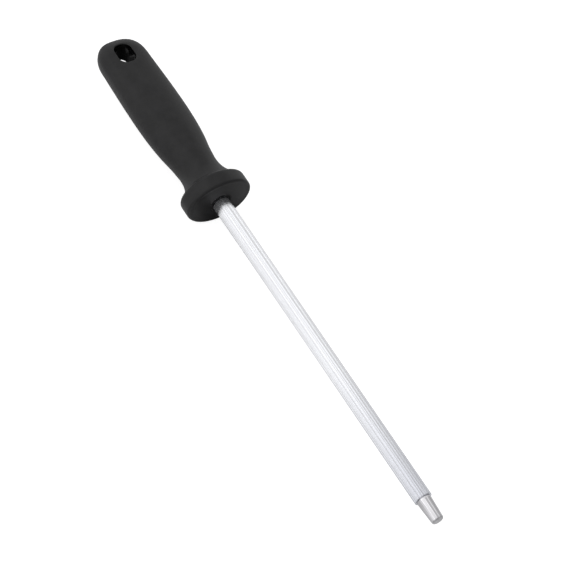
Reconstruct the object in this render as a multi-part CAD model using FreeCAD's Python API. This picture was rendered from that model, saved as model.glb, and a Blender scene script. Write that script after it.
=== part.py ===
"""Knife sharpening steel: a ribbed, chromed steel rod moulded into a one-piece handle.

Units are millimetres.  The model is drawn about the guard: X = 0 is the front edge of
the guard, the rod runs along +X and the handle along -X.  Y is the wide direction of
the handle and Z its thickness.  place() then moves every piece so that the origin is
under the middle of the whole steel, on the surface that it lies on, with +Z up.
"""
import FreeCAD, Part
import math
import os

# Rod, outside the handle
ROD_LENGTH = 200.0          # front of the guard to the end of the tip
ROD_DIAMETER = 8.85         # over the ribs
RIB_COUNT = 60              # lengthwise ribs round the rod
GROOVE_DEPTH = 0.13         # depth of the groove between two ribs
GROOVE_WIDTH = 0.27         # width of that groove at the surface
ROD_END_CHAMFER = 0.25      # broken edge where the ribs stop

# Polished, turned tip
TIP_LENGTH = 12.5
TIP_BASE_DIAMETER = 7.4
TIP_END_DIAMETER = 6.0
TIP_EDGE_RADIUS = 0.9

# Tang, inside the handle
TANG_DIAMETER = 8.2
TANG_LENGTH = 76.0
TANG_START = 3.0            # the full rod diameter ends this far behind the front of the guard
TANG_END_CHAMFER = 0.8
PADDLE_LENGTH = 16.0        # flattened anchor at the end of the tang
PADDLE_WIDTH = 11.0
PADDLE_THICKNESS = 5.0
PADDLE_NECK = 4.0           # taper between the round tang and the flattened anchor
ANCHOR_HOLE_DIAMETER = 4.0  # the moulding fills this hole and locks the rod in place

# Guard
GUARD_WIDTH = 35.6
GUARD_HEIGHT = 28.4
GUARD_THICKNESS = 8.3
GUARD_FRONT_RADIUS = 1.2
GUARD_BACK_RADIUS = 1.6
CROWN_RADIUS = 130.0        # the front of the guard is a shallow dome
CROWN_HEIGHT = 1.25         # at the rod's axis
RING_GAP_DIAMETER = 11.2    # narrow gap in the dome, next to the rod
RING_GAP_BOTTOM = 0.35      # height of its floor
RING_GAP_RADIUS = 0.25

# Grip
HANDLE_LENGTH = 111.5       # guard face to the end of the butt
NECK_X = 22.0               # slimmest place, behind the guard face
FLARE_RUN = 12.5            # length over which the neck swells towards the guard
FLARE_RISE_Y = 3.9
FLARE_RISE_Z = 2.0
FLARE_POWER = 2.6
FLARE_END = 1.16            # the flare runs on into the guard, in parts of FLARE_RUN
FLARE_STEPS = 7
# Grip sections: distance behind the guard face, half width, half thickness, squareness
GRIP_SECTIONS = [
    (22.0, 10.40, 10.00, 2.00),
    (29.0, 11.25, 10.05, 2.00),
    (37.0, 12.65, 10.05, 2.05),
    (46.0, 13.60, 9.90, 2.10),
    (56.0, 14.02, 9.55, 2.20),
    (68.0, 14.00, 9.00, 2.35),
    (82.0, 13.68, 7.95, 2.60),
    (94.0, 13.40, 7.20, 2.70),
]
BUTT_HALF_WIDTH = 13.32
BUTT_HALF_THICKNESS = 7.00
BUTT_SQUARENESS = 2.70
BUTT_ROUND_Y = 15.5         # length of the rounding seen from above
BUTT_POWER_Y = 2.35
BUTT_ROUND_Z = 11.5         # length of the rounding seen from the side
BUTT_POWER_Z = 1.95
BUTT_STEPS = 10
SECTION_POINTS = 28

# Hang hole, along Z near the butt
HOLE_X = 98.3
HOLE_LENGTH = 12.6
HOLE_WIDTH = 9.1
HOLE_CORNER = 4.1
HOLE_LIP = 0.8              # radius of the rounded lip at each face

# Where the model's origin is
ORIGIN_X = (ROD_LENGTH - HANDLE_LENGTH) / 2
ORIGIN_Z = -GUARD_HEIGHT / 2

X_AXIS = FreeCAD.Vector(1, 0, 0)
Z_AXIS = FreeCAD.Vector(0, 0, 1)


def vec(x, y, z):
    return FreeCAD.Vector(x, y, z)


def place(shape):
    """Moves a finished piece from the guard's frame into the model's frame."""
    return shape.translated(vec(-ORIGIN_X, 0, -ORIGIN_Z))


def cylinder(diameter, x_start, x_end):
    return Part.makeCylinder(diameter / 2, x_end - x_start, vec(x_start, 0, 0), X_AXIS)


# ---------------------------------------------------------------- rod

def ribbed_section():
    """Outline across the rod: a land of the full radius between two V grooves."""
    radius = ROD_DIAMETER / 2
    pitch = 2 * math.pi / RIB_COUNT
    groove = GROOVE_WIDTH / radius
    edges = []
    for i in range(RIB_COUNT):
        start = i * pitch
        land_end = start + pitch - groove
        land_mid = (start + land_end) / 2
        bottom = land_end + groove / 2
        a = polar(radius, start)
        b = polar(radius, land_mid)
        c = polar(radius, land_end)
        d = polar(radius - GROOVE_DEPTH, bottom)
        e = polar(radius, start + pitch)
        edges.append(Part.Arc(a, b, c).toShape())
        edges.append(Part.makeLine(c, d))
        edges.append(Part.makeLine(d, e))
    return Part.Wire(edges)


def polar(radius, angle):
    return vec(0, radius * math.cos(angle), radius * math.sin(angle))


def ribbed_bar():
    """The working length: starts inside the guard and stops at the step."""
    start = -TANG_START
    length = ROD_LENGTH - TIP_LENGTH - start
    face = Part.Face(ribbed_section())
    face.translate(vec(start, 0, 0))
    bar = face.extrude(vec(length, 0, 0))
    end = start + length
    radius = ROD_DIAMETER / 2
    envelope = cylinder(ROD_DIAMETER + 1, start, end - ROD_END_CHAMFER)
    nose = Part.makeCone(radius, radius - ROD_END_CHAMFER, ROD_END_CHAMFER,
                         vec(end - ROD_END_CHAMFER, 0, 0), X_AXIS)
    return bar.common(envelope.fuse(nose))


def tip():
    """Short polished cone with a rounded end edge."""
    start = ROD_LENGTH - TIP_LENGTH - 1.0
    cone = Part.makeCone(TIP_BASE_DIAMETER / 2, TIP_END_DIAMETER / 2, TIP_LENGTH + 1.0,
                         vec(start, 0, 0), X_AXIS)
    end_edges = [e for e in cone.Edges if e.BoundBox.XMin > ROD_LENGTH - 0.01]
    return cone.makeFillet(TIP_EDGE_RADIUS, end_edges)


def tang():
    """Plain round tang that ends in a flattened anchor with a hole through it."""
    paddle_end = -TANG_LENGTH
    paddle_start = paddle_end + PADDLE_LENGTH
    round_end = paddle_start + PADDLE_NECK
    shank = cylinder(TANG_DIAMETER, round_end, 0)
    paddle = Part.makeBox(PADDLE_LENGTH, PADDLE_WIDTH, PADDLE_THICKNESS,
                          vec(paddle_end, -PADDLE_WIDTH / 2, -PADDLE_THICKNESS / 2))
    corners = [e for e in paddle.Edges if abs(e.BoundBox.ZLength - PADDLE_THICKNESS) < 0.01]
    paddle = paddle.makeChamfer(TANG_END_CHAMFER, corners)
    neck = Part.makeLoft([rectangle(paddle_start, PADDLE_WIDTH, PADDLE_THICKNESS),
                          circle_wire(TANG_DIAMETER, round_end)], True, True)
    hole = Part.makeCylinder(ANCHOR_HOLE_DIAMETER / 2, PADDLE_THICKNESS + 2,
                             vec(paddle_end + PADDLE_LENGTH / 2, 0, -PADDLE_THICKNESS / 2 - 1),
                             Z_AXIS)
    return shank.fuse(neck).fuse(paddle).cut(hole)


def rectangle(x, width, height):
    y = width / 2
    z = height / 2
    return Part.makePolygon([vec(x, y, z), vec(x, -y, z), vec(x, -y, -z), vec(x, y, -z),
                             vec(x, y, z)])


def circle_wire(diameter, x):
    return Part.Wire(Part.makeCircle(diameter / 2, vec(x, 0, 0), X_AXIS))


def rod():
    return ribbed_bar().fuse(tip()).fuse(tang()).removeSplitter()


# ---------------------------------------------------------------- handle

def section(x, half_width, half_thickness, squareness):
    """Closed smooth oval across the handle; squareness 2 is an ellipse, more is boxier."""
    points = []
    for i in range(SECTION_POINTS):
        angle = 2 * math.pi * (i + 0.5) / SECTION_POINTS
        c = math.cos(angle)
        s = math.sin(angle)
        y = half_width * math.copysign(abs(c) ** (2 / squareness), c)
        z = half_thickness * math.copysign(abs(s) ** (2 / squareness), s)
        points.append(vec(x, y, z))
    curve = Part.BSplineCurve()
    curve.interpolate(Points=points, PeriodicFlag=True)
    return Part.Wire(curve.toShape())


def flare_sections():
    """Neck that swells into the back of the guard, ending inside the guard."""
    x_near, half_width, half_thickness, squareness = GRIP_SECTIONS[0]
    sections = []
    for i in range(FLARE_STEPS):
        u = FLARE_END * (1 - i / FLARE_STEPS)
        swell = u ** FLARE_POWER
        sections.append(section(-(x_near - u * FLARE_RUN),
                                half_width + FLARE_RISE_Y * swell,
                                half_thickness + FLARE_RISE_Z * swell,
                                squareness))
    return sections


def rounding(distance_from_end, run, power):
    """Factor from 0 at the very end to 1 where the rounding begins."""
    u = max(0.0, (run - distance_from_end) / run)
    return (1 - u ** power) ** (1 / power)


def butt_sections():
    """Rounded end: the sections close up faster seen from the side than from above."""
    sections = []
    for i in range(BUTT_STEPS):
        turn = math.pi / 2 * (i + 0.4) / BUTT_STEPS
        from_end = BUTT_ROUND_Y * (1 - math.sin(turn))
        sections.append(section(from_end - HANDLE_LENGTH,
                                BUTT_HALF_WIDTH * rounding(from_end, BUTT_ROUND_Y, BUTT_POWER_Y),
                                BUTT_HALF_THICKNESS * rounding(from_end, BUTT_ROUND_Z, BUTT_POWER_Z),
                                BUTT_SQUARENESS))
    return sections


def grip():
    wires = flare_sections()
    for x, half_width, half_thickness, squareness in GRIP_SECTIONS:
        wires.append(section(-x, half_width, half_thickness, squareness))
    wires.extend(butt_sections())
    wires.append(Part.Vertex(vec(-HANDLE_LENGTH, 0, 0)))
    return Part.makeLoft(wires, True, False)


def guard():
    """Oval plate with a crowned front, a crisp front edge and a softer back edge."""
    oval = Part.Ellipse(vec(0, GUARD_WIDTH / 2, 0), vec(0, 0, GUARD_HEIGHT / 2), vec(0, 0, 0))
    face = Part.Face(Part.Wire(oval.toShape()))
    face.translate(vec(-GUARD_THICKNESS, 0, 0))
    plate = face.extrude(vec(GUARD_THICKNESS + 2 * CROWN_HEIGHT, 0, 0))
    back = [e for e in plate.Edges if e.BoundBox.XMax < 0.01 - GUARD_THICKNESS]
    plate = plate.makeFillet(GUARD_BACK_RADIUS, back)
    plate = plate.common(crown())
    middle = -GUARD_THICKNESS / 2
    front = [e for e in plate.Edges if e.BoundBox.XMin > middle]
    return plate.makeFillet(GUARD_FRONT_RADIUS, front)


def crown():
    """Large ball that shapes the front of the guard, with its seam turned to the back."""
    ball = Part.makeSphere(CROWN_RADIUS)
    ball.rotate(vec(0, 0, 0), Z_AXIS, 180)
    ball.translate(vec(CROWN_HEIGHT - CROWN_RADIUS, 0, 0))
    return ball


def ring_gap():
    cutter = cylinder(RING_GAP_DIAMETER, RING_GAP_BOTTOM, 2 * CROWN_HEIGHT)
    floor = [e for e in cutter.Edges if e.BoundBox.XMax < RING_GAP_BOTTOM + 0.01]
    return cutter.makeFillet(RING_GAP_RADIUS, floor)


def rounded_rectangle(half_length, half_width, corner, z):
    """Closed outline round the hang hole's axis at height z."""
    x0 = -HOLE_X - half_length
    x1 = -HOLE_X + half_length
    y0 = -half_width
    y1 = half_width
    k = corner * (1 - math.sqrt(0.5))
    pts = [(x0 + corner, y0), (x1 - corner, y0), (x1 - k, y0 + k), (x1, y0 + corner),
           (x1, y1 - corner), (x1 - k, y1 - k), (x1 - corner, y1), (x0 + corner, y1),
           (x0 + k, y1 - k), (x0, y1 - corner), (x0, y0 + corner), (x0 + k, y0 + k)]
    p = [vec(x, y, z) for x, y in pts]
    edges = []
    for i in range(0, 12, 3):
        edges.append(Part.makeLine(p[i], p[i + 1]))
        edges.append(Part.Arc(p[i + 1], p[i + 2], p[(i + 3) % 12]).toShape())
    return Part.Wire(edges)


def hang_hole():
    """Straight slot right through the butt."""
    depth = 4 * BUTT_HALF_THICKNESS
    outline = rounded_rectangle(HOLE_LENGTH / 2, HOLE_WIDTH / 2, HOLE_CORNER, -depth / 2)
    return Part.Face(outline).extrude(vec(0, 0, depth))


def round_lips(body):
    """Rounds the edges where the hang hole meets the two faces of the butt."""
    reach = HOLE_LENGTH / 2 + 0.1
    lips = []
    for edge in body.Edges:
        box = edge.BoundBox
        round_the_hole = box.XMin > -HOLE_X - reach and box.XMax < -HOLE_X + reach
        level = box.ZLength < 1.0 and abs(box.ZMax) > BUTT_HALF_THICKNESS / 2
        if round_the_hole and level:
            lips.append(edge)
    return body.makeFillet(HOLE_LIP, lips)


def rod_cavity():
    """The space that the moulded-in part of the rod fills."""
    bore = cylinder(ROD_DIAMETER, -TANG_START, 2 * CROWN_HEIGHT)
    return bore.fuse(tang())


def handle():
    outside = round_lips(grip().cut(hang_hole()))
    return outside.fuse(guard()).cut(ring_gap()).cut(rod_cavity()).removeSplitter()


PIECES = {
    "rod": rod,
    "handle": handle,
}

os.makedirs("parts", exist_ok=True)
for name, make in PIECES.items():
    shape = place(make())
    shape.exportStep("parts/" + name + ".step")
    print(name, "valid", shape.isValid(), "solids", len(shape.Solids), "faces", len(shape.Faces),
          "volume", round(shape.Volume), "box", shape.BoundBox)
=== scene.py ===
"""Studio picture of the knife sharpening steel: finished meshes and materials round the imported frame.

Lengths are in metres.  Shapes are drawn about the guard, as the part is: X = 0 is the
front edge of the guard and the rod runs along +X.  place() moves them into the frame.
"""

import math
import random

import bmesh
import bpy
import numpy as np
from mathutils import Matrix, Vector


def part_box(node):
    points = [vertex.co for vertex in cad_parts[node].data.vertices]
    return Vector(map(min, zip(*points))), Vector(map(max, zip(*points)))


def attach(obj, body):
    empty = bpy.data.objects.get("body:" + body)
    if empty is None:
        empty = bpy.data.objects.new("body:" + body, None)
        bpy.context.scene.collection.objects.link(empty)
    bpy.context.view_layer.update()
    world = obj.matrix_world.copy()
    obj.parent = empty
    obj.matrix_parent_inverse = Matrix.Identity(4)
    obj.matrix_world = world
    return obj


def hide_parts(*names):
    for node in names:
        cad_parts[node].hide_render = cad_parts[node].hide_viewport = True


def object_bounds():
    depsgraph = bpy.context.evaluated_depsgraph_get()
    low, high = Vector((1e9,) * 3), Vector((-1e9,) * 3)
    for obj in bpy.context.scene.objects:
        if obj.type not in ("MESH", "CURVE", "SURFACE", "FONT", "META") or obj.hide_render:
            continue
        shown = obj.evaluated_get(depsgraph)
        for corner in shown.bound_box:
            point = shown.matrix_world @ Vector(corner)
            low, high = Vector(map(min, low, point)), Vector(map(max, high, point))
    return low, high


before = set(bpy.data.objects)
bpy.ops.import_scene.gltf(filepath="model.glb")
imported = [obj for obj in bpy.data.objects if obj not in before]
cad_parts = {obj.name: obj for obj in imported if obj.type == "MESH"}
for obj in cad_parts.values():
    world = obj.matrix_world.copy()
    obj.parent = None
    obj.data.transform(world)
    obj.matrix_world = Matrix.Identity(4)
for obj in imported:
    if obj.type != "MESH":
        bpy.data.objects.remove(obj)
cad_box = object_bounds()

MM = 0.001
BODY = "root"
rod_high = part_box("rod")[1]
handle_low, handle_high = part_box("handle")
ROD_LENGTH = 200.0 * MM                             # front of the guard to the end of the tip
GUARD_X = rod_high.x - ROD_LENGTH                   # front of the guard
AXIS_Z = (handle_low.z + handle_high.z) / 2         # height of the rod's axis
HANDLE_LENGTH = GUARD_X - handle_low.x

# Rod
ROD_RADIUS = 4.42 * MM
RIB_COUNT = 60
RIB_SAMPLES = 14
GROOVE_DEPTH = 0.11 * MM
GROOVE_SHARPNESS = 5.0
RIB_TILT = 0.008 * MM                               # how far a land's two edges differ in height
ROD_START = -2.5 * MM                               # hidden inside the handle
TIP_LENGTH = 12.5 * MM
STEP_CHAMFER = 0.25 * MM
TIP_BASE_RADIUS = 3.68 * MM
TIP_END_RADIUS = 3.0 * MM
TIP_EDGE = 0.85 * MM
UNDERCUT_DEPTH = 0.12 * MM
UNDERCUT_LENGTH = 0.35 * MM
TIP_SEGMENTS = 144
ROD_RINGS = 12                                      # spans along the ribbed length
TIP_RINGS = 10                                      # spans along the taper
TIP_EDGE_RINGS = 8

# Chrome
TIP_SHADE_FROM = 110.0 * MM                              # painted shade: the chrome turns darker and cooler from here
TIP_SHADE_TO = 190.0 * MM                                # to here
RIBBED_ROUGHNESS = 0.18
RIBBED_STREAK = (3.0, 1300.0, 1300.0)               # scale of the fine marks along X, Y and Z
RIBBED_TINT = 0.84
# Painted shade on the ribs towards the tip: darker and a little cooler
RIBBED_TIP_SHADE = (0.79, 0.795, 0.825, 1)
POLISHED_ROUGHNESS = 0.02
POLISHED_STREAK = (20.0, 700.0, 700.0)
POLISHED_TINT = 0.86
# Painted shade on the polished end towards the tip: darker and a little warmer
POLISHED_TIP_SHADE = (0.80, 0.785, 0.785, 1)
STREAK_FROM = 0.34                                  # noise at or below this gives the dark streaks
STREAK_TO = 0.56                                    # and at or above this the light ones
STREAK_DARK = (0.78, 0.785, 0.805)
STREAK_LIGHT = (1.06, 1.07, 1.095)
ROUGHNESS_SPREAD = 0.25
STREAK_BUMP = 0.12
STREAK_HEIGHT = 0.02 * MM

# Guard
GUARD_HALF_WIDTH = (handle_high.y - handle_low.y) / 2 - 0.01 * MM
GUARD_HALF_HEIGHT = (handle_high.z - handle_low.z) / 2 - 0.01 * MM
GUARD_THICKNESS = 8.3 * MM
GUARD_FRONT_RADIUS = 1.2 * MM
GUARD_BACK_RADIUS = 1.6 * MM
CROWN_RADIUS = 130.0 * MM                           # the front of the guard is a shallow dome
CROWN_HEIGHT = 1.24 * MM
RING_GAP_RADIUS = 5.6 * MM
RING_GAP_EDGE = 0.15 * MM
RING_GAP_BOTTOM = 0.35 * MM
BORE_RADIUS = 4.43 * MM

# Grip
FLARE_RUN = 12.5 * MM
FLARE_RISE_Y = 3.9 * MM
FLARE_RISE_Z = 2.0 * MM
FLARE_POWER = 2.6
# Distance behind the guard face, half width, half thickness (mm), squareness
GRIP_SECTIONS = [
    (22.0, 10.40, 10.00, 2.00),
    (29.0, 11.25, 10.05, 2.00),
    (37.0, 12.65, 10.05, 2.05),
    (46.0, 13.60, 9.90, 2.10),
    (56.0, 14.02, 9.55, 2.20),
    (68.0, 14.00, 9.00, 2.35),
    (82.0, 13.68, 7.95, 2.60),
    (94.0, 13.40, 7.20, 2.70),
    (111.5, 13.32, 7.00, 2.70),
]
BUTT_ROUND_Y = 15.5 * MM
BUTT_POWER_Y = 2.35
BUTT_ROUND_Z = 11.5 * MM
BUTT_POWER_Z = 1.95

# Hang hole
HOLE_X = -98.3 * MM
HOLE_HALF_LENGTH = 6.30 * MM
HOLE_HALF_WIDTH = 4.55 * MM
HOLE_CORNER = 4.1 * MM
HOLE_LIP = 0.8 * MM
HOLE_ROUGHNESS = 0.10
HOLE_WALL_REACH = 0.05 * MM                         # takes in the walls, which lie on the outline

# Black plastic
PLASTIC_IOR = 1.38
PATCH_SCALE = 170.0                                 # cloudy patches, a few millimetres across
PATCH_FROM = 0.35
PATCH_TO = 0.68
PLASTIC_DARK = (0.0010, 0.0010, 0.0012, 1)
PLASTIC_LIGHT = (0.0085, 0.0083, 0.0088, 1)
PLASTIC_SMOOTHEST = 0.36
PLASTIC_ROUGHEST = 0.56
GRAIN_SCALE = 2600.0                                # the mould's fine texture
GRAIN_BUMP = 0.25
GRAIN_HEIGHT = 0.06 * MM

# Mesh density of the handle
AROUND = 96
BUTT_RINGS = 16
BUTT_CROWDING = 2.2                                 # how much closer the rings are at the very end
GRIP_RINGS = 62
BACK_EDGE_RINGS = 7
RIM_RINGS = 5
FRONT_EDGE_RINGS = 8
CROWN_RINGS = 12
PATCH_RINGS = 7                                     # from the window to the hole's lip
LIP_RINGS = 9
THROAT_RINGS = 8
WINDOW_HALF = 10                                    # quads each side of the top line, round the hole
WINDOW_CELLS = 22                                   # quads along the same window
WINDOW_TO_BUTT = 9.2 * MM                           # reach of the window from the hole's middle
WINDOW_TO_GRIP = 10.5 * MM

# Camera
CAMERA_AZIMUTH = -42.48                             # degrees round Z, from +X
CAMERA_ELEVATION = 52.51
CAMERA_ROLL = 14.62
CAMERA_DISTANCE = 1.1231
AIM_X = 59.48 * MM                                  # it looks at this point on the rod's height
AIM_Y = 4.03 * MM
CAMERA_LENS = 146.97
CAMERA_SENSOR = 36.0

# Light
BACKDROP = 1.1                                      # strength of the world as the camera sees it
WALL_COLOUR = (0.99, 0.99, 1.0, 1)
BRIGHT_SIDE = (-0.45, -0.85, 0.25)                  # where the studio's walls are lightest
WALL_DARK = 0.35
WALL_BRIGHT = 1.12
FLOOR_REACH = 12.0                                  # from the middle to each edge
FLOOR_DROP = 0.2 * MM
FLOOR_ROUGHNESS = 0.9
FLOOR_TONE = 0.42
FLOOR_GLOW = 0.84
# How light the floor is in reflections, at distances along Y from the rod's axis (mm): painted light and
# shade, lighter towards -Y and dark under and beside the rod
FLOOR_LIGHT_AND_SHADE = [(-12, 0.95), (-3, 0.20), (6, 0.26), (20, 0.78), (42, 0.85)]
FLOOR_OPEN = 0.85                                   # the same, well in front of the guard
OPEN_FROM = 25.0 * MM
OPEN_TO = 80.0 * MM
SHADE_BEYOND_TIP = 0.50                                 # painted shade, past the end of the tip
BEYOND_RUN = 10.0 * MM
SHADOW_UNDER_HOLE = 0.10                             # painted shadow, under the hang hole
HOLE_SHADE_REACH = 5.5 * MM                         # this far past its outline
# Soft boxes parallel to the rod: name, angle round the rod, distance (m), from X, to X, width,
# and how much they add to the walls behind them
SOFT_BOXES = [
    ("back_top", 90, 1.30, -2.2, -0.50, 2.6, 0.16),
    ("back_right", 0, 1.30, -2.2, -0.50, 2.6, 0.15),
    ("broad_strip", 118, 1.20, -0.50, 0.6, 0.95, 0.12),
    ("middle_strip", 111, 0.60, -0.75, -0.27, 0.09, 0.80),
    ("right_strip", 20, 0.60, -0.75, -0.26, 0.13, 0.70),
    ("left_strip", 147, 0.60, -0.27, -0.09, 0.10, 0.80),
    ("upper_strip", 80, 0.60, -0.29, -0.09, 0.09, 0.30),
    ("tip_strip_left", 146, 0.60, -0.09, 0.3, 0.045, 1.05),
    ("tip_strip_upper", 101, 0.60, -0.09, 0.3, 0.05, 0.75),
    ("tip_strip_right", 56, 0.60, -0.09, 0.3, 0.08, 0.50),
]

# Sockets of a Mix node
MIX_SHARE = 0
MIX_NUMBER_A = 2
MIX_NUMBER_B = 3
MIX_NUMBER_OUT = 0
MIX_COLOUR_A = 6
MIX_COLOUR_B = 7
MIX_COLOUR_OUT = 2


def place(point):
    x, y, z = point
    return (x + GUARD_X, y, z + AXIS_Z)


def new_piece(name, points, faces, material):
    mesh = bpy.data.meshes.new(name)
    mesh.from_pydata([place(p) for p in points], [], faces)
    mesh.validate()
    mesh.polygons.foreach_set("use_smooth", [True] * len(mesh.polygons))
    mesh.materials.append(material)
    mesh.update()
    piece = bpy.data.objects.new(name, mesh)
    bpy.context.scene.collection.objects.link(piece)
    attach(piece, BODY)
    return piece


# ---------------------------------------------------------------- turned shapes

def lathe(rings, close_start=True, close_end=True):
    """Points and quads of rings that all have the same number of points."""
    count = len(rings[0])
    points = [p for ring in rings for p in ring]
    faces = []
    for r in range(len(rings) - 1):
        for i in range(count):
            j = (i + 1) % count
            faces.append((r * count + i, r * count + j, (r + 1) * count + j, (r + 1) * count + i))
    if close_start:
        faces.append(tuple(range(count - 1, -1, -1)))
    if close_end:
        start = (len(rings) - 1) * count
        faces.append(tuple(range(start, start + count)))
    return points, faces


def round_ring(x, radius, count):
    turn = 2 * math.pi / count
    return [(x, radius * math.cos(i * turn), radius * math.sin(i * turn)) for i in range(count)]


def rib_faces():
    """How deep each groove is and how far each land leans, a little different for every rib."""
    chance = random.Random(7)
    return [(chance.uniform(0.75, 1.0), chance.uniform(-1.0, 1.0)) for _ in range(RIB_COUNT)]


def ribbed_ring(x, ribs, shrink=0.0, groove=1.0):
    """One ring of the ribbed rod: RIB_COUNT lands with a narrow groove between each two."""
    count = RIB_COUNT * RIB_SAMPLES
    ring = []
    for i in range(count):
        depth, lean = ribs[i // RIB_SAMPLES]
        phase = (i % RIB_SAMPLES) / RIB_SAMPLES
        dip = (0.5 + 0.5 * math.cos(2 * math.pi * phase)) ** GROOVE_SHARPNESS
        slope = RIB_TILT * (0.5 + lean * (phase - 0.5)) * (1 - dip)
        radius = ROD_RADIUS - shrink - slope - groove * depth * GROOVE_DEPTH * dip
        angle = 2 * math.pi * i / count
        ring.append((x, radius * math.cos(angle), radius * math.sin(angle)))
    return ring


def make_ribbed_rod(material):
    step = ROD_LENGTH - TIP_LENGTH
    ribs = rib_faces()
    rings = [ribbed_ring(ROD_START, ribs, shrink=0.3 * MM)]
    straight_end = step - STEP_CHAMFER
    stations = [ROD_START, ROD_START + 0.3 * MM]
    stations += [straight_end * i / ROD_RINGS for i in range(1, ROD_RINGS)]
    stations += [straight_end - 0.3 * MM, straight_end - 0.08 * MM]
    for x in stations:
        rings.append(ribbed_ring(x, ribs))
    for i in range(4):
        t = i / 3
        rings.append(ribbed_ring(straight_end + STEP_CHAMFER * t, ribs, shrink=STEP_CHAMFER * t ** 1.5,
                                 groove=1 - 0.6 * t))
    depth = ROD_RADIUS - TIP_BASE_RADIUS
    for share in (0.45, 0.75, 1.2):
        rings.append(ribbed_ring(step, ribs, shrink=depth * share, groove=0.0))
    points, faces = lathe(rings)
    rod = new_piece("ribbed_rod", points, faces, material)
    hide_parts("rod")
    return rod


def make_tip(material):
    start = ROD_LENGTH - TIP_LENGTH
    slope = (TIP_END_RADIUS - TIP_BASE_RADIUS) / TIP_LENGTH
    profile = [(start - 0.3 * MM, TIP_BASE_RADIUS - UNDERCUT_DEPTH - 0.1 * MM),
               (start - 0.02 * MM, TIP_BASE_RADIUS - UNDERCUT_DEPTH),
               (start + 0.4 * UNDERCUT_LENGTH, TIP_BASE_RADIUS - UNDERCUT_DEPTH),
               (start + 0.8 * UNDERCUT_LENGTH, TIP_BASE_RADIUS - 0.4 * UNDERCUT_DEPTH),
               (start + 1.2 * UNDERCUT_LENGTH, TIP_BASE_RADIUS)]
    taper_x = profile[-1][0]
    edge_x = ROD_LENGTH - TIP_EDGE
    for i in range(1, TIP_RINGS + 1):
        x = taper_x + (edge_x - taper_x) * i / TIP_RINGS
        profile.append((x, TIP_BASE_RADIUS + slope * (x - start)))
    flat_radius = profile[-1][1] - TIP_EDGE
    for i in range(1, TIP_EDGE_RINGS + 1):
        turn = math.pi / 2 * i / TIP_EDGE_RINGS
        profile.append((edge_x + TIP_EDGE * math.sin(turn), flat_radius + TIP_EDGE * math.cos(turn)))
    for share in (0.8, 0.55, 0.3, 0.1):
        profile.append((ROD_LENGTH, flat_radius * share))
    points, faces = lathe([round_ring(x, r, TIP_SEGMENTS) for x, r in profile])
    return new_piece("rod_tip", points, faces, material)


# ---------------------------------------------------------------- handle

def spline(xs, ys, x):
    """Smooth curve through the points (xs, ys), with slopes from the neighbours."""
    xs = np.array(xs)
    ys = np.array(ys)
    slopes = np.gradient(ys, xs)
    i = int(np.clip(np.searchsorted(xs, x) - 1, 0, len(xs) - 2))
    h = xs[i + 1] - xs[i]
    t = (x - xs[i]) / h
    return ((2 * t ** 3 - 3 * t ** 2 + 1) * ys[i] + (t ** 3 - 2 * t ** 2 + t) * h * slopes[i]
            + (3 * t ** 2 - 2 * t ** 3) * ys[i + 1] + (t ** 3 - t ** 2) * h * slopes[i + 1])


def rounding(from_end, run, power):
    u = min(1.0, max(0.0, (run - from_end) / run))
    return (1 - u ** power) ** (1 / power)


def grip_section(x):
    """Half width, half thickness and squareness of the grip at X = x (negative)."""
    stations = [s[0] * MM for s in GRIP_SECTIONS]
    behind = max(-x, stations[0])
    half_width = spline(stations, [s[1] * MM for s in GRIP_SECTIONS], behind)
    half_thick = spline(stations, [s[2] * MM for s in GRIP_SECTIONS], behind)
    square = spline(stations, [s[3] for s in GRIP_SECTIONS], behind)
    if -x < stations[0]:
        swell = ((stations[0] + x) / FLARE_RUN) ** FLARE_POWER
        half_width += FLARE_RISE_Y * swell
        half_thick += FLARE_RISE_Z * swell
    from_end = x + HANDLE_LENGTH
    half_width *= rounding(from_end, BUTT_ROUND_Y, BUTT_POWER_Y)
    half_thick *= rounding(from_end, BUTT_ROUND_Z, BUTT_POWER_Z)
    return half_width, half_thick, square


def oval_point(x, half_width, half_thick, square, turn):
    c = math.cos(turn)
    s = math.sin(turn)
    y = half_width * math.copysign(abs(c) ** (2 / square), c)
    z = half_thick * math.copysign(abs(s) ** (2 / square), s)
    return (x, y, z)


def oval_ring(x, half_width, half_thick, square):
    return [oval_point(x, half_width, half_thick, square, 2 * math.pi * i / AROUND)
            for i in range(AROUND)]


def surface_height(x, y):
    """Height of the grip's upper face over the point (x, y)."""
    half_width, half_thick, square = grip_section(x)
    across = min(1.0, abs(y) / half_width)
    return half_thick * (1 - across ** square) ** (1 / square)


def hole_outline(grow, side, t):
    """Point of the hole's outline, grown outwards; side 0..3, t 0..1 from corner to corner."""
    half = (HOLE_HALF_LENGTH + grow, HOLE_HALF_WIDTH + grow)
    corner = HOLE_CORNER + grow
    along, across = (half[0], half[1]) if side % 2 == 0 else (half[1], half[0])
    arc = corner * math.pi / 4
    straight = 2 * (along - corner)
    travel = t * (2 * arc + straight)
    if travel < arc:
        turn = -math.pi / 4 + travel / corner
        u = -along + corner + corner * math.sin(turn)
        v = across - corner + corner * math.cos(turn)
    elif travel <= arc + straight:
        u = -along + corner + travel - arc
        v = across
    else:
        turn = (travel - arc - straight) / corner
        u = along - corner + corner * math.sin(turn)
        v = across - corner + corner * math.cos(turn)
    for _ in range(side):
        u, v = v, -u
    return HOLE_X + u, v


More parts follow.
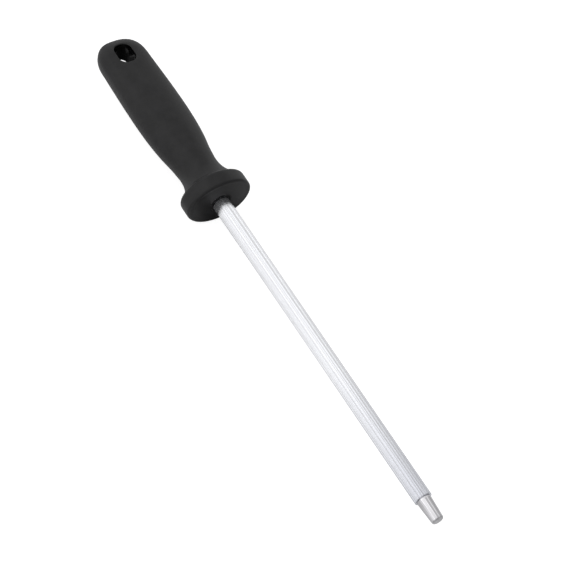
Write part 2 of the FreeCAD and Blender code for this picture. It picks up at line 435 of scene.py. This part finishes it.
def handle_rings():
    """Rings from the butt to the bottom of the rod's bore, and where the hole's window starts."""
    rings = []
    window_start = HOLE_X - WINDOW_TO_BUTT
    window_end = HOLE_X + WINDOW_TO_GRIP
    for i in range(1, BUTT_RINGS):
        x = -HANDLE_LENGTH + (window_start + HANDLE_LENGTH) * (i / BUTT_RINGS) ** BUTT_CROWDING
        rings.append(oval_ring(x, *grip_section(x)))
    first = len(rings)
    for i in range(WINDOW_CELLS + 1):
        x = window_start + (window_end - window_start) * i / WINDOW_CELLS
        rings.append(oval_ring(x, *grip_section(x)))
    back = -GUARD_THICKNESS
    for i in range(1, GRIP_RINGS + 1):
        x = window_end + (back - window_end) * i / GRIP_RINGS
        rings.append(oval_ring(x, *grip_section(x)))
    rings.extend(guard_rings())
    return rings, first


def guard_rings():
    """From the guard's rounded back edge over its rim and domed front into the gap round the rod."""
    rings = []
    back = -GUARD_THICKNESS
    a = GUARD_HALF_WIDTH
    b = GUARD_HALF_HEIGHT
    r = GUARD_BACK_RADIUS
    for i in range(1, BACK_EDGE_RINGS + 1):
        turn = math.pi / 2 * i / BACK_EDGE_RINGS
        inset = r * (1 - math.sin(turn))
        rings.append(oval_ring(back + r * (1 - math.cos(turn)), a - inset, b - inset, 2.0))
    start = back + GUARD_BACK_RADIUS
    for i in range(1, RIM_RINGS + 1):
        rings.append(front_ring(start, i / RIM_RINGS, 0.0))
    for i in range(1, FRONT_EDGE_RINGS + 1):
        rings.append(front_ring(start, 1.0, math.pi / 2 * i / FRONT_EDGE_RINGS))
    for i in range(1, CROWN_RINGS + 1):
        rings.append(crown_ring(i / CROWN_RINGS))
    rings.extend(oval_ring(x, radius, radius, 2.0) for x, radius in gap_profile())
    return rings


def crown_height(y, z):
    """Height of the guard's domed front over the point (y, z)."""
    return CROWN_HEIGHT - CROWN_RADIUS + math.sqrt(CROWN_RADIUS ** 2 - y ** 2 - z ** 2)


def front_ring(start, share, turn):
    """Ring on the guard's rim (turn 0) or on its rounded front edge (turn up to 90 degrees)."""
    r = GUARD_FRONT_RADIUS
    ring = []
    for i in range(AROUND):
        angle = 2 * math.pi * i / AROUND
        y = GUARD_HALF_WIDTH * math.cos(angle)
        z = GUARD_HALF_HEIGHT * math.sin(angle)
        inset = r * (1 - math.cos(turn))
        y *= 1 - inset / GUARD_HALF_WIDTH
        z *= 1 - inset / GUARD_HALF_HEIGHT
        inner = 1 - r / GUARD_HALF_HEIGHT
        edge = crown_height(y * inner, z * inner) - r
        ring.append((start + (edge - start) * share + r * math.sin(turn), y, z))
    return ring


def crown_ring(share):
    """Ring on the domed front, from its edge (share 0) to the gap round the rod (share 1)."""
    lip = RING_GAP_RADIUS + RING_GAP_EDGE
    ring = []
    for i in range(AROUND):
        angle = 2 * math.pi * i / AROUND
        y = ((GUARD_HALF_WIDTH - GUARD_FRONT_RADIUS) * (1 - share) + lip * share) * math.cos(angle)
        z = ((GUARD_HALF_HEIGHT - GUARD_FRONT_RADIUS) * (1 - share) + lip * share) * math.sin(angle)
        ring.append((crown_height(y, z), y, z))
    return ring


def gap_profile():
    """From the lip of the dome down into the gap, across its floor and along the rod."""
    lip = RING_GAP_RADIUS + RING_GAP_EDGE
    top = crown_height(lip, 0.0)
    profile = []
    for i in range(1, 5):
        turn = math.pi / 2 * i / 4
        profile.append((top - RING_GAP_EDGE * (1 - math.cos(turn)), lip - RING_GAP_EDGE * math.sin(turn)))
    corner = 0.25 * MM
    for i in range(4):
        turn = math.pi / 2 * i / 3
        profile.append((RING_GAP_BOTTOM + corner * (1 - math.sin(turn)),
                        RING_GAP_RADIUS - corner * (1 - math.cos(turn))))
    profile.append((RING_GAP_BOTTOM, BORE_RADIUS + 0.1 * MM))
    profile.append((RING_GAP_BOTTOM - 0.1 * MM, BORE_RADIUS))
    profile.append((-1.5 * MM, BORE_RADIUS))
    return profile


def make_handle(material):
    rings, first = handle_rings()
    points, faces = lathe(rings, close_start=False)
    last = first + WINDOW_CELLS
    quarter = AROUND // 4

    def in_window(face):
        r = face[0] // AROUND
        i = face[0] % AROUND
        if not first <= r < last:
            return False
        return any(centre - WINDOW_HALF <= i < centre + WINDOW_HALF for centre in (quarter, 3 * quarter))

    faces = [f for f in faces if len(f) > 4 or not in_window(f)]
    pole = len(points)
    points.append((-HANDLE_LENGTH, 0.0, 0.0))
    faces.extend((pole, (i + 1) % AROUND, i) for i in range(AROUND))
    top = window_patch(points, faces, first, 1)
    bottom = window_patch(points, faces, first, -1)
    bridge(points, faces, top, bottom, THROAT_RINGS)
    handle = new_piece("moulded_handle", points, faces, material)
    tidy_normals(handle)
    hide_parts("handle")
    return handle


def window_loop(first, side):
    """Grid points round the window, in the order of the hole's outline, with its side and share."""
    quarter = AROUND // 4
    last = first + WINDOW_CELLS
    centre = quarter if side > 0 else 3 * quarter
    # columns of the window's two sides, towards +Y and towards -Y
    high = centre - WINDOW_HALF if side > 0 else centre + WINDOW_HALF
    low = centre + WINDOW_HALF if side > 0 else centre - WINDOW_HALF
    step = 1 if low > high else -1
    loop = []
    for i in range(WINDOW_CELLS):
        loop.append(((first + i) * AROUND + high, 0, i / WINDOW_CELLS))
    for i in range(2 * WINDOW_HALF):
        loop.append((last * AROUND + high + step * i, 1, i / (2 * WINDOW_HALF)))
    for i in range(WINDOW_CELLS):
        loop.append(((last - i) * AROUND + low, 2, i / WINDOW_CELLS))
    for i in range(2 * WINDOW_HALF):
        loop.append((first * AROUND + low - step * i, 3, i / (2 * WINDOW_HALF)))
    return loop


def window_patch(points, faces, first, side):
    """Fills the window round the hole on one face and rolls its lip; returns the throat's loop."""
    loop = window_loop(first, side)
    current = [index for index, _, _ in loop]
    outer = [points[index][:2] for index in current]
    for step in range(1, PATCH_RINGS + LIP_RINGS + 1):
        row = []
        for k, (_, edge, t) in enumerate(loop):
            if step <= PATCH_RINGS:
                share = step / PATCH_RINGS
                hx, hy = hole_outline(HOLE_LIP, edge, t)
                x = outer[k][0] * (1 - share) + hx * share
                y = outer[k][1] * (1 - share) + hy * share
                z = surface_height(x, y)
            else:
                turn = math.pi / 2 * (step - PATCH_RINGS) / LIP_RINGS
                x, y = hole_outline(HOLE_LIP * (1 - math.sin(turn)), edge, t)
                z = surface_height(x, y) - HOLE_LIP * (1 - math.cos(turn))
            row.append(len(points))
            points.append((x, y, side * z))
        join_loops(faces, current, row)
        current = row
    return current


def join_loops(faces, one, two):
    count = len(one)
    for k in range(count):
        j = (k + 1) % count
        faces.append((one[k], one[j], two[j], two[k]))


def bridge(points, faces, top, bottom, steps):
    """Walls of the hole, between its two throats."""
    current = top
    for step in range(1, steps):
        share = step / steps
        row = []
        for a, b in zip(top, bottom):
            row.append(len(points))
            points.append(tuple(points[a][c] * (1 - share) + points[b][c] * share for c in range(3)))
        join_loops(faces, current, row)
        current = row
    join_loops(faces, current, bottom)


def tidy_normals(piece):
    bm = bmesh.new()
    bm.from_mesh(piece.data)
    bmesh.ops.recalc_face_normals(bm, faces=bm.faces)
    bm.to_mesh(piece.data)
    bm.free()


# ---------------------------------------------------------------- materials

def material_tree(name):
    material = bpy.data.materials.new(name)
    material.use_nodes = True
    tree = material.node_tree
    return material, tree, tree.nodes["Principled BSDF"]


def add(tree, kind, **values):
    node = tree.nodes.new(kind)
    for key, value in values.items():
        if key in node.inputs:
            node.inputs[key].default_value = value
        else:
            setattr(node, key, value)
    return node


def split_position(tree, coords):
    split = add(tree, "ShaderNodeSeparateXYZ")
    tree.links.new(coords.outputs["Object"], split.inputs["Vector"])
    return split


def near(tree, value, centre, reach):
    """1 where value lies within reach of centre, and 0 elsewhere."""
    compare = add(tree, "ShaderNodeMath", operation="COMPARE")
    tree.links.new(value, compare.inputs[0])
    compare.inputs[1].default_value = centre
    compare.inputs[2].default_value = reach
    return compare.outputs["Value"]


def over_hole(tree, split, reach):
    """1 within this reach of the hang hole, seen from above, and 0 elsewhere."""
    both = add(tree, "ShaderNodeMath", operation="MULTIPLY")
    along = near(tree, split.outputs["X"], GUARD_X + HOLE_X, HOLE_HALF_LENGTH + reach)
    across = near(tree, split.outputs["Y"], 0.0, HOLE_HALF_WIDTH + reach)
    tree.links.new(along, both.inputs[0])
    tree.links.new(across, both.inputs[1])
    return both.outputs["Value"]


def noise_over(tree, vector, scale, detail, roughness):
    noise = add(tree, "ShaderNodeTexNoise", Scale=scale, Detail=detail, Roughness=roughness)
    tree.links.new(vector, noise.inputs["Vector"])
    return noise.outputs["Fac"]


def coloured_by(tree, noise, low, high):
    """Colour that follows the noise; low and high are each a position and a colour."""
    ramp = add(tree, "ShaderNodeValToRGB")
    for stop, (position, colour) in zip(ramp.color_ramp.elements, (low, high)):
        stop.position = position
        stop.color = colour
    tree.links.new(noise, ramp.inputs["Fac"])
    return ramp.outputs["Color"]


def spread_by(tree, noise, low, high):
    """Number from low to high that follows the noise."""
    spread = add(tree, "ShaderNodeMapRange")
    spread.inputs["To Min"].default_value = low
    spread.inputs["To Max"].default_value = high
    tree.links.new(noise, spread.inputs["Value"])
    return spread.outputs["Result"]


def bump_by(tree, noise, strength, height, shader):
    bump = add(tree, "ShaderNodeBump", Strength=strength, Distance=height)
    tree.links.new(noise, bump.inputs["Height"])
    tree.links.new(bump.outputs["Normal"], shader.inputs["Normal"])


def smoother_in_hole(tree, coords, roughness):
    """roughness, lower on the hang hole's walls, which are moulded on a smooth core."""
    mix = tree.nodes.new("ShaderNodeMix")
    mix.data_type = "FLOAT"
    walls = over_hole(tree, split_position(tree, coords), HOLE_WALL_REACH)
    tree.links.new(walls, mix.inputs[MIX_SHARE])
    tree.links.new(roughness, mix.inputs[MIX_NUMBER_A])
    mix.inputs[MIX_NUMBER_B].default_value = HOLE_ROUGHNESS
    return mix.outputs[MIX_NUMBER_OUT]


def plastic():
    material, tree, shader = material_tree("black_plastic_moulded")
    shader.inputs["IOR"].default_value = PLASTIC_IOR
    coords = add(tree, "ShaderNodeTexCoord")
    patch = noise_over(tree, coords.outputs["Object"], PATCH_SCALE, 6.0, 0.62)
    colour = coloured_by(tree, patch, (PATCH_FROM, PLASTIC_DARK), (PATCH_TO, PLASTIC_LIGHT))
    tree.links.new(colour, shader.inputs["Base Color"])
    rough = spread_by(tree, patch, PLASTIC_SMOOTHEST, PLASTIC_ROUGHEST)
    tree.links.new(smoother_in_hole(tree, coords, rough), shader.inputs["Roughness"])
    grain = noise_over(tree, coords.outputs["Object"], GRAIN_SCALE, 3.0, 0.6)
    bump_by(tree, grain, GRAIN_BUMP, GRAIN_HEIGHT, shader)
    return material


def with_tip_shade(tree, coords, colour, tint):
    """colour, multiplied more and more by tint towards the tip, as painted shade."""
    split = split_position(tree, coords)
    share = add(tree, "ShaderNodeMapRange")
    share.inputs["From Min"].default_value = GUARD_X + TIP_SHADE_FROM
    share.inputs["From Max"].default_value = GUARD_X + TIP_SHADE_TO
    tree.links.new(split.outputs["X"], share.inputs["Value"])
    mix = tree.nodes.new("ShaderNodeMix")
    mix.data_type = "RGBA"
    mix.blend_type = "MULTIPLY"
    mix.inputs[MIX_COLOUR_B].default_value = tint
    tree.links.new(share.outputs["Result"], mix.inputs[MIX_SHARE])
    tree.links.new(colour, mix.inputs[MIX_COLOUR_A])
    return mix.outputs[MIX_COLOUR_OUT]


def chrome(name, roughness, streak, tint, tip_shade):
    """Chromed steel with fine marks of the scale streak, and painted shade that darkens it more towards
    the tip.
    """
    material, tree, shader = material_tree(name)
    shader.inputs["Metallic"].default_value = 1.0
    coords = add(tree, "ShaderNodeTexCoord")
    stretch = add(tree, "ShaderNodeMapping")
    stretch.inputs["Scale"].default_value = streak
    tree.links.new(coords.outputs["Object"], stretch.inputs["Vector"])
    marks = noise_over(tree, stretch.outputs["Vector"], 1.0, 1.5, 0.5)
    dark = tuple(tint * part for part in STREAK_DARK) + (1,)
    light = tuple(tint * part for part in STREAK_LIGHT) + (1,)
    colour = coloured_by(tree, marks, (STREAK_FROM, dark), (STREAK_TO, light))
    tree.links.new(with_tip_shade(tree, coords, colour, tip_shade), shader.inputs["Base Color"])
    rough = spread_by(tree, marks, roughness * (1 - ROUGHNESS_SPREAD), roughness * (1 + ROUGHNESS_SPREAD))
    tree.links.new(rough, shader.inputs["Roughness"])
    bump_by(tree, marks, STREAK_BUMP, STREAK_HEIGHT, shader)
    return material


# ---------------------------------------------------------------- stage, light and camera

def make_floor():
    """Pale floor; seen directly, part of its brightness is its own, so that shadows on it stay faint.
    Reflections meet a matte floor in painted light and shade instead.
    """
    mesh = bpy.data.meshes.new("floor")
    corners = [(-1, -1), (1, -1), (1, 1), (-1, 1)]
    corners = [(x * FLOOR_REACH, y * FLOOR_REACH, 0) for x, y in corners]
    mesh.from_pydata(corners, [], [(0, 1, 2, 3)])
    material, tree, shader = material_tree("pale_floor")
    shader.inputs["Base Color"].default_value = (FLOOR_TONE, FLOOR_TONE, FLOOR_TONE, 1)
    shader.inputs["Roughness"].default_value = FLOOR_ROUGHNESS
    shader.inputs["Specular IOR Level"].default_value = 0.0
    shader.inputs["Emission Color"].default_value = (1, 1, 1, 1)
    shader.inputs["Emission Strength"].default_value = FLOOR_GLOW
    matte = add(tree, "ShaderNodeBsdfDiffuse")
    tree.links.new(painted_floor_shading(tree), matte.inputs["Color"])
    sight = add(tree, "ShaderNodeLightPath")
    mix = add(tree, "ShaderNodeMixShader")
    tree.links.new(sight.outputs["Is Camera Ray"], mix.inputs["Fac"])
    tree.links.new(matte.outputs["BSDF"], mix.inputs[1])
    tree.links.new(shader.outputs["BSDF"], mix.inputs[2])
    tree.links.new(mix.outputs["Shader"], tree.nodes["Material Output"].inputs["Surface"])
    mesh.materials.append(material)
    floor = bpy.data.objects.new("floor", mesh)
    floor.location.z = cad_box[0].z - FLOOR_DROP
    bpy.context.scene.collection.objects.link(floor)


def painted_floor_shading(tree):
    """Tone of the floor across Y, as the steel's reflections meet it: painted light and shade, with
    painted shade past the tip and painted shadow under the hang hole.
    """
    split = split_position(tree, add(tree, "ShaderNodeTexCoord"))
    first = FLOOR_LIGHT_AND_SHADE[0][0] * MM
    last = FLOOR_LIGHT_AND_SHADE[-1][0] * MM
    across = add(tree, "ShaderNodeMapRange")
    across.inputs["From Min"].default_value = first
    across.inputs["From Max"].default_value = last
    tree.links.new(split.outputs["Y"], across.inputs["Value"])
    ramp = add(tree, "ShaderNodeValToRGB")
    stops = ramp.color_ramp.elements
    while len(stops) < len(FLOOR_LIGHT_AND_SHADE):
        stops.new(0.5)
    for stop, (y, tone) in zip(stops, FLOOR_LIGHT_AND_SHADE):
        stop.position = (y * MM - first) / (last - first)
        stop.color = (tone, tone, tone, 1)
    tree.links.new(across.outputs["Result"], ramp.inputs["Fac"])
    opened = turn_to(tree, split, OPEN_FROM, OPEN_TO, ramp.outputs["Color"], FLOOR_OPEN)
    beyond = turn_to(tree, split, ROD_LENGTH, ROD_LENGTH + BEYOND_RUN, opened, SHADE_BEYOND_TIP)
    return mixed(tree, over_hole(tree, split, HOLE_SHADE_REACH), beyond, SHADOW_UNDER_HOLE)


def turn_to(tree, split, start, end, colour, tone):
    """colour, changed to a grey of this tone between two distances in front of the guard."""
    share = add(tree, "ShaderNodeMapRange")
    share.inputs["From Min"].default_value = GUARD_X + start
    share.inputs["From Max"].default_value = GUARD_X + end
    tree.links.new(split.outputs["X"], share.inputs["Value"])
    return mixed(tree, share.outputs["Result"], colour, tone)


def mixed(tree, share, colour, tone):
    """colour where share is 0, and a grey of this tone where it is 1."""
    mix = tree.nodes.new("ShaderNodeMix")
    mix.data_type = "RGBA"
    mix.inputs[MIX_COLOUR_B].default_value = (tone, tone, tone, 1)
    tree.links.new(share, mix.inputs[MIX_SHARE])
    tree.links.new(colour, mix.inputs[MIX_COLOUR_A])
    return mix.outputs[MIX_COLOUR_OUT]


def make_world():
    """Studio walls that are lighter on one side, and a white backdrop."""
    world = bpy.data.worlds.new("studio")
    world.use_nodes = True
    tree = world.node_tree
    background = tree.nodes["Background"]
    coords = add(tree, "ShaderNodeTexCoord")
    facing = add(tree, "ShaderNodeVectorMath", operation="DOT_PRODUCT")
    facing.inputs[1].default_value = Vector(BRIGHT_SIDE).normalized()
    tree.links.new(coords.outputs["Generated"], facing.inputs[0])
    wall = add(tree, "ShaderNodeMapRange")
    wall.inputs["From Min"].default_value = -1.0
    wall.inputs["From Max"].default_value = 1.0
    wall.inputs["To Min"].default_value = WALL_DARK
    wall.inputs["To Max"].default_value = WALL_BRIGHT
    tree.links.new(facing.outputs["Value"], wall.inputs["Value"])
    sight = add(tree, "ShaderNodeLightPath")
    mix = tree.nodes.new("ShaderNodeMix")
    mix.data_type = "FLOAT"
    mix.inputs[MIX_NUMBER_B].default_value = BACKDROP
    tree.links.new(sight.outputs["Is Camera Ray"], mix.inputs[MIX_SHARE])
    tree.links.new(wall.outputs["Result"], mix.inputs[MIX_NUMBER_A])
    tree.links.new(mix.outputs[MIX_NUMBER_OUT], background.inputs["Strength"])
    background.inputs["Color"].default_value = WALL_COLOUR
    bpy.context.scene.world = world


def soft_box(name, turn, distance, x_from, x_to, width, radiance):
    """Panel parallel to the rod; turn is its angle round the rod, 0 at +Y and 90 overhead."""
    light = bpy.data.lights.new(name, "AREA")
    light.shape = "RECTANGLE"
    light.size = x_to - x_from
    light.size_y = width
    light.energy = radiance * math.pi * light.size * light.size_y
    angle = math.radians(turn)
    back = Vector((0, math.cos(angle), math.sin(angle)))
    side = Vector((1, 0, 0))
    facing = Matrix((side, back.cross(side), back)).transposed().to_4x4()
    holder = bpy.data.objects.new(name, light)
    centre = Vector(((x_from + x_to) / 2, 0, AXIS_Z)) + back * distance
    holder.matrix_world = Matrix.Translation(centre) @ facing
    bpy.context.scene.collection.objects.link(holder)


def make_camera():
    """Looks down on the steel from the tip's side, rolled so that the tip points to the lower right."""
    azimuth = math.radians(CAMERA_AZIMUTH)
    elevation = math.radians(CAMERA_ELEVATION)
    roll = math.radians(CAMERA_ROLL)
    back = Vector((math.cos(elevation) * math.cos(azimuth), math.cos(elevation) * math.sin(azimuth),
                   math.sin(elevation)))
    aim = Vector((GUARD_X + AIM_X, AIM_Y, AXIS_Z))
    camera = bpy.data.cameras.new("camera")
    camera.lens = CAMERA_LENS
    camera.sensor_width = CAMERA_SENSOR
    holder = bpy.data.objects.new("camera", camera)
    upright = back.to_track_quat("Z", "Y").to_matrix()
    turned = (upright @ Matrix.Rotation(roll, 3, "Z")).to_4x4()
    holder.matrix_world = Matrix.Translation(aim + back * CAMERA_DISTANCE) @ turned
    bpy.context.scene.collection.objects.link(holder)
    bpy.context.scene.camera = holder


def picture_settings():
    scene = bpy.context.scene
    scene.view_settings.view_transform = "Standard"
    scene.cycles.use_denoising = True


make_ribbed_rod(chrome("chrome_ribbed", RIBBED_ROUGHNESS, RIBBED_STREAK, RIBBED_TINT, RIBBED_TIP_SHADE))
make_tip(chrome("chrome_polished", POLISHED_ROUGHNESS, POLISHED_STREAK, POLISHED_TINT, POLISHED_TIP_SHADE))
make_handle(plastic())
make_floor()
make_world()
for box in SOFT_BOXES:
    soft_box(*box)
make_camera()
picture_settings()
